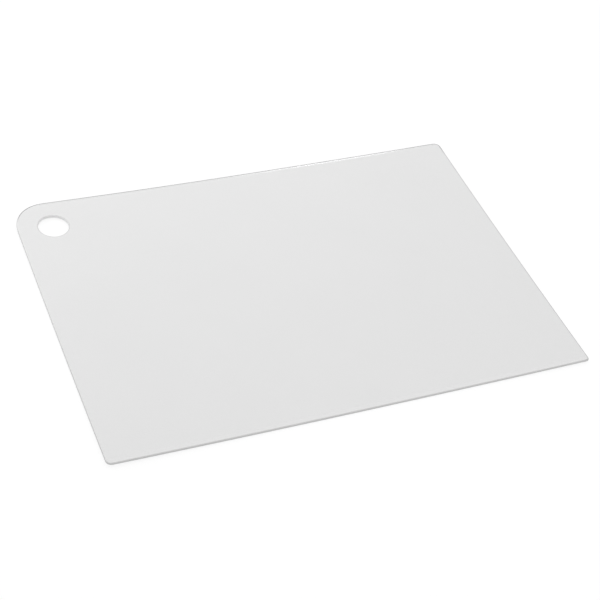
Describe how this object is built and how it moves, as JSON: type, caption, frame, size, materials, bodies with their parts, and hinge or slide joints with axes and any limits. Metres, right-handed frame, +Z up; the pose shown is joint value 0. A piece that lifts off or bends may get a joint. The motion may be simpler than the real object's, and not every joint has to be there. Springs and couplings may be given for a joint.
{
  "type": "flexible cutting mat",
  "caption": "Thin flexible plastic cutting mat with a round hanging hole in its large rounded corner; its long edges curl up into a pouring chute and spring flat again.",
  "frame": {"origin": "centre of the underside, where the mat lies on the table", "axes": "+X along the long edges to the right, +Y from the front edge to the back edge, +Z up from the underside to the cutting face; the hanging hole is in the -X +Y corner"},
  "size_m": [0.35, 0.25, 0.002],
  "materials": {
    "sheet": "satin white polyethylene with a very fine moulded grain"
  },
  "bodies": {
    "front_edge_strip": {"front_edge_strip": "sheet"},
    "front_strip_4": {"front_strip_4": "sheet"},
    "front_strip_3": {"front_strip_3": "sheet"},
    "front_strip_2": {"front_strip_2": "sheet"},
    "front_strip_1": {"front_strip_1": "sheet"},
    "centre_strip": {"centre_strip": "sheet"},
    "back_strip_1": {"back_strip_1": "sheet"},
    "back_strip_2": {"back_strip_2": "sheet"},
    "back_strip_3": {"back_strip_3": "sheet"},
    "back_strip_4": {"back_strip_4": "sheet"},
    "back_edge_strip": {"back_edge_strip": "sheet"}
  },
  "joints": [
    {"name": "front_curl", "type": "hinge", "parent": "centre_strip", "child": "front_strip_1", "pos_m": [0, -0.00867, 0.002], "axis": [-1, 0, 0], "range_deg": [0, 18], "stiffness_Nm_per_rad": 16},
    {"name": "front_bend_2", "type": "hinge", "parent": "front_strip_1", "child": "front_strip_2", "pos_m": [0, -0.026, 0.002], "axis": [-1, 0, 0], "range_deg": [0, 18]},
    {"name": "front_bend_3", "type": "hinge", "parent": "front_strip_2", "child": "front_strip_3", "pos_m": [0, -0.04333, 0.002], "axis": [-1, 0, 0], "range_deg": [0, 18]},
    {"name": "front_bend_4", "type": "hinge", "parent": "front_strip_3", "child": "front_strip_4", "pos_m": [0, -0.06067, 0.002], "axis": [-1, 0, 0], "range_deg": [0, 18]},
    {"name": "front_bend_5", "type": "hinge", "parent": "front_strip_4", "child": "front_edge_strip", "pos_m": [0, -0.078, 0.002], "axis": [-1, 0, 0], "range_deg": [0, 18]},
    {"name": "back_curl", "type": "hinge", "parent": "centre_strip", "child": "back_strip_1", "pos_m": [0, 0.00867, 0.002], "axis": [1, 0, 0], "range_deg": [0, 18], "stiffness_Nm_per_rad": 16},
    {"name": "back_bend_2", "type": "hinge", "parent": "back_strip_1", "child": "back_strip_2", "pos_m": [0, 0.026, 0.002], "axis": [1, 0, 0], "range_deg": [0, 18]},
    {"name": "back_bend_3", "type": "hinge", "parent": "back_strip_2", "child": "back_strip_3", "pos_m": [0, 0.04333, 0.002], "axis": [1, 0, 0], "range_deg": [0, 18]},
    {"name": "back_bend_4", "type": "hinge", "parent": "back_strip_3", "child": "back_strip_4", "pos_m": [0, 0.06067, 0.002], "axis": [1, 0, 0], "range_deg": [0, 18]},
    {"name": "back_bend_5", "type": "hinge", "parent": "back_strip_4", "child": "back_edge_strip", "pos_m": [0, 0.078, 0.002], "axis": [1, 0, 0], "range_deg": [0, 18]}
  ],
  "couplings": [
    {"joint": "front_bend_2", "follows": "front_curl", "ratio": 1},
    {"joint": "front_bend_3", "follows": "front_curl", "ratio": 1},
    {"joint": "front_bend_4", "follows": "front_curl", "ratio": 1},
    {"joint": "front_bend_5", "follows": "front_curl", "ratio": 1},
    {"joint": "back_bend_2", "follows": "back_curl", "ratio": 1},
    {"joint": "back_bend_3", "follows": "back_curl", "ratio": 1},
    {"joint": "back_bend_4", "follows": "back_curl", "ratio": 1},
    {"joint": "back_bend_5", "follows": "back_curl", "ratio": 1}
  ]
}
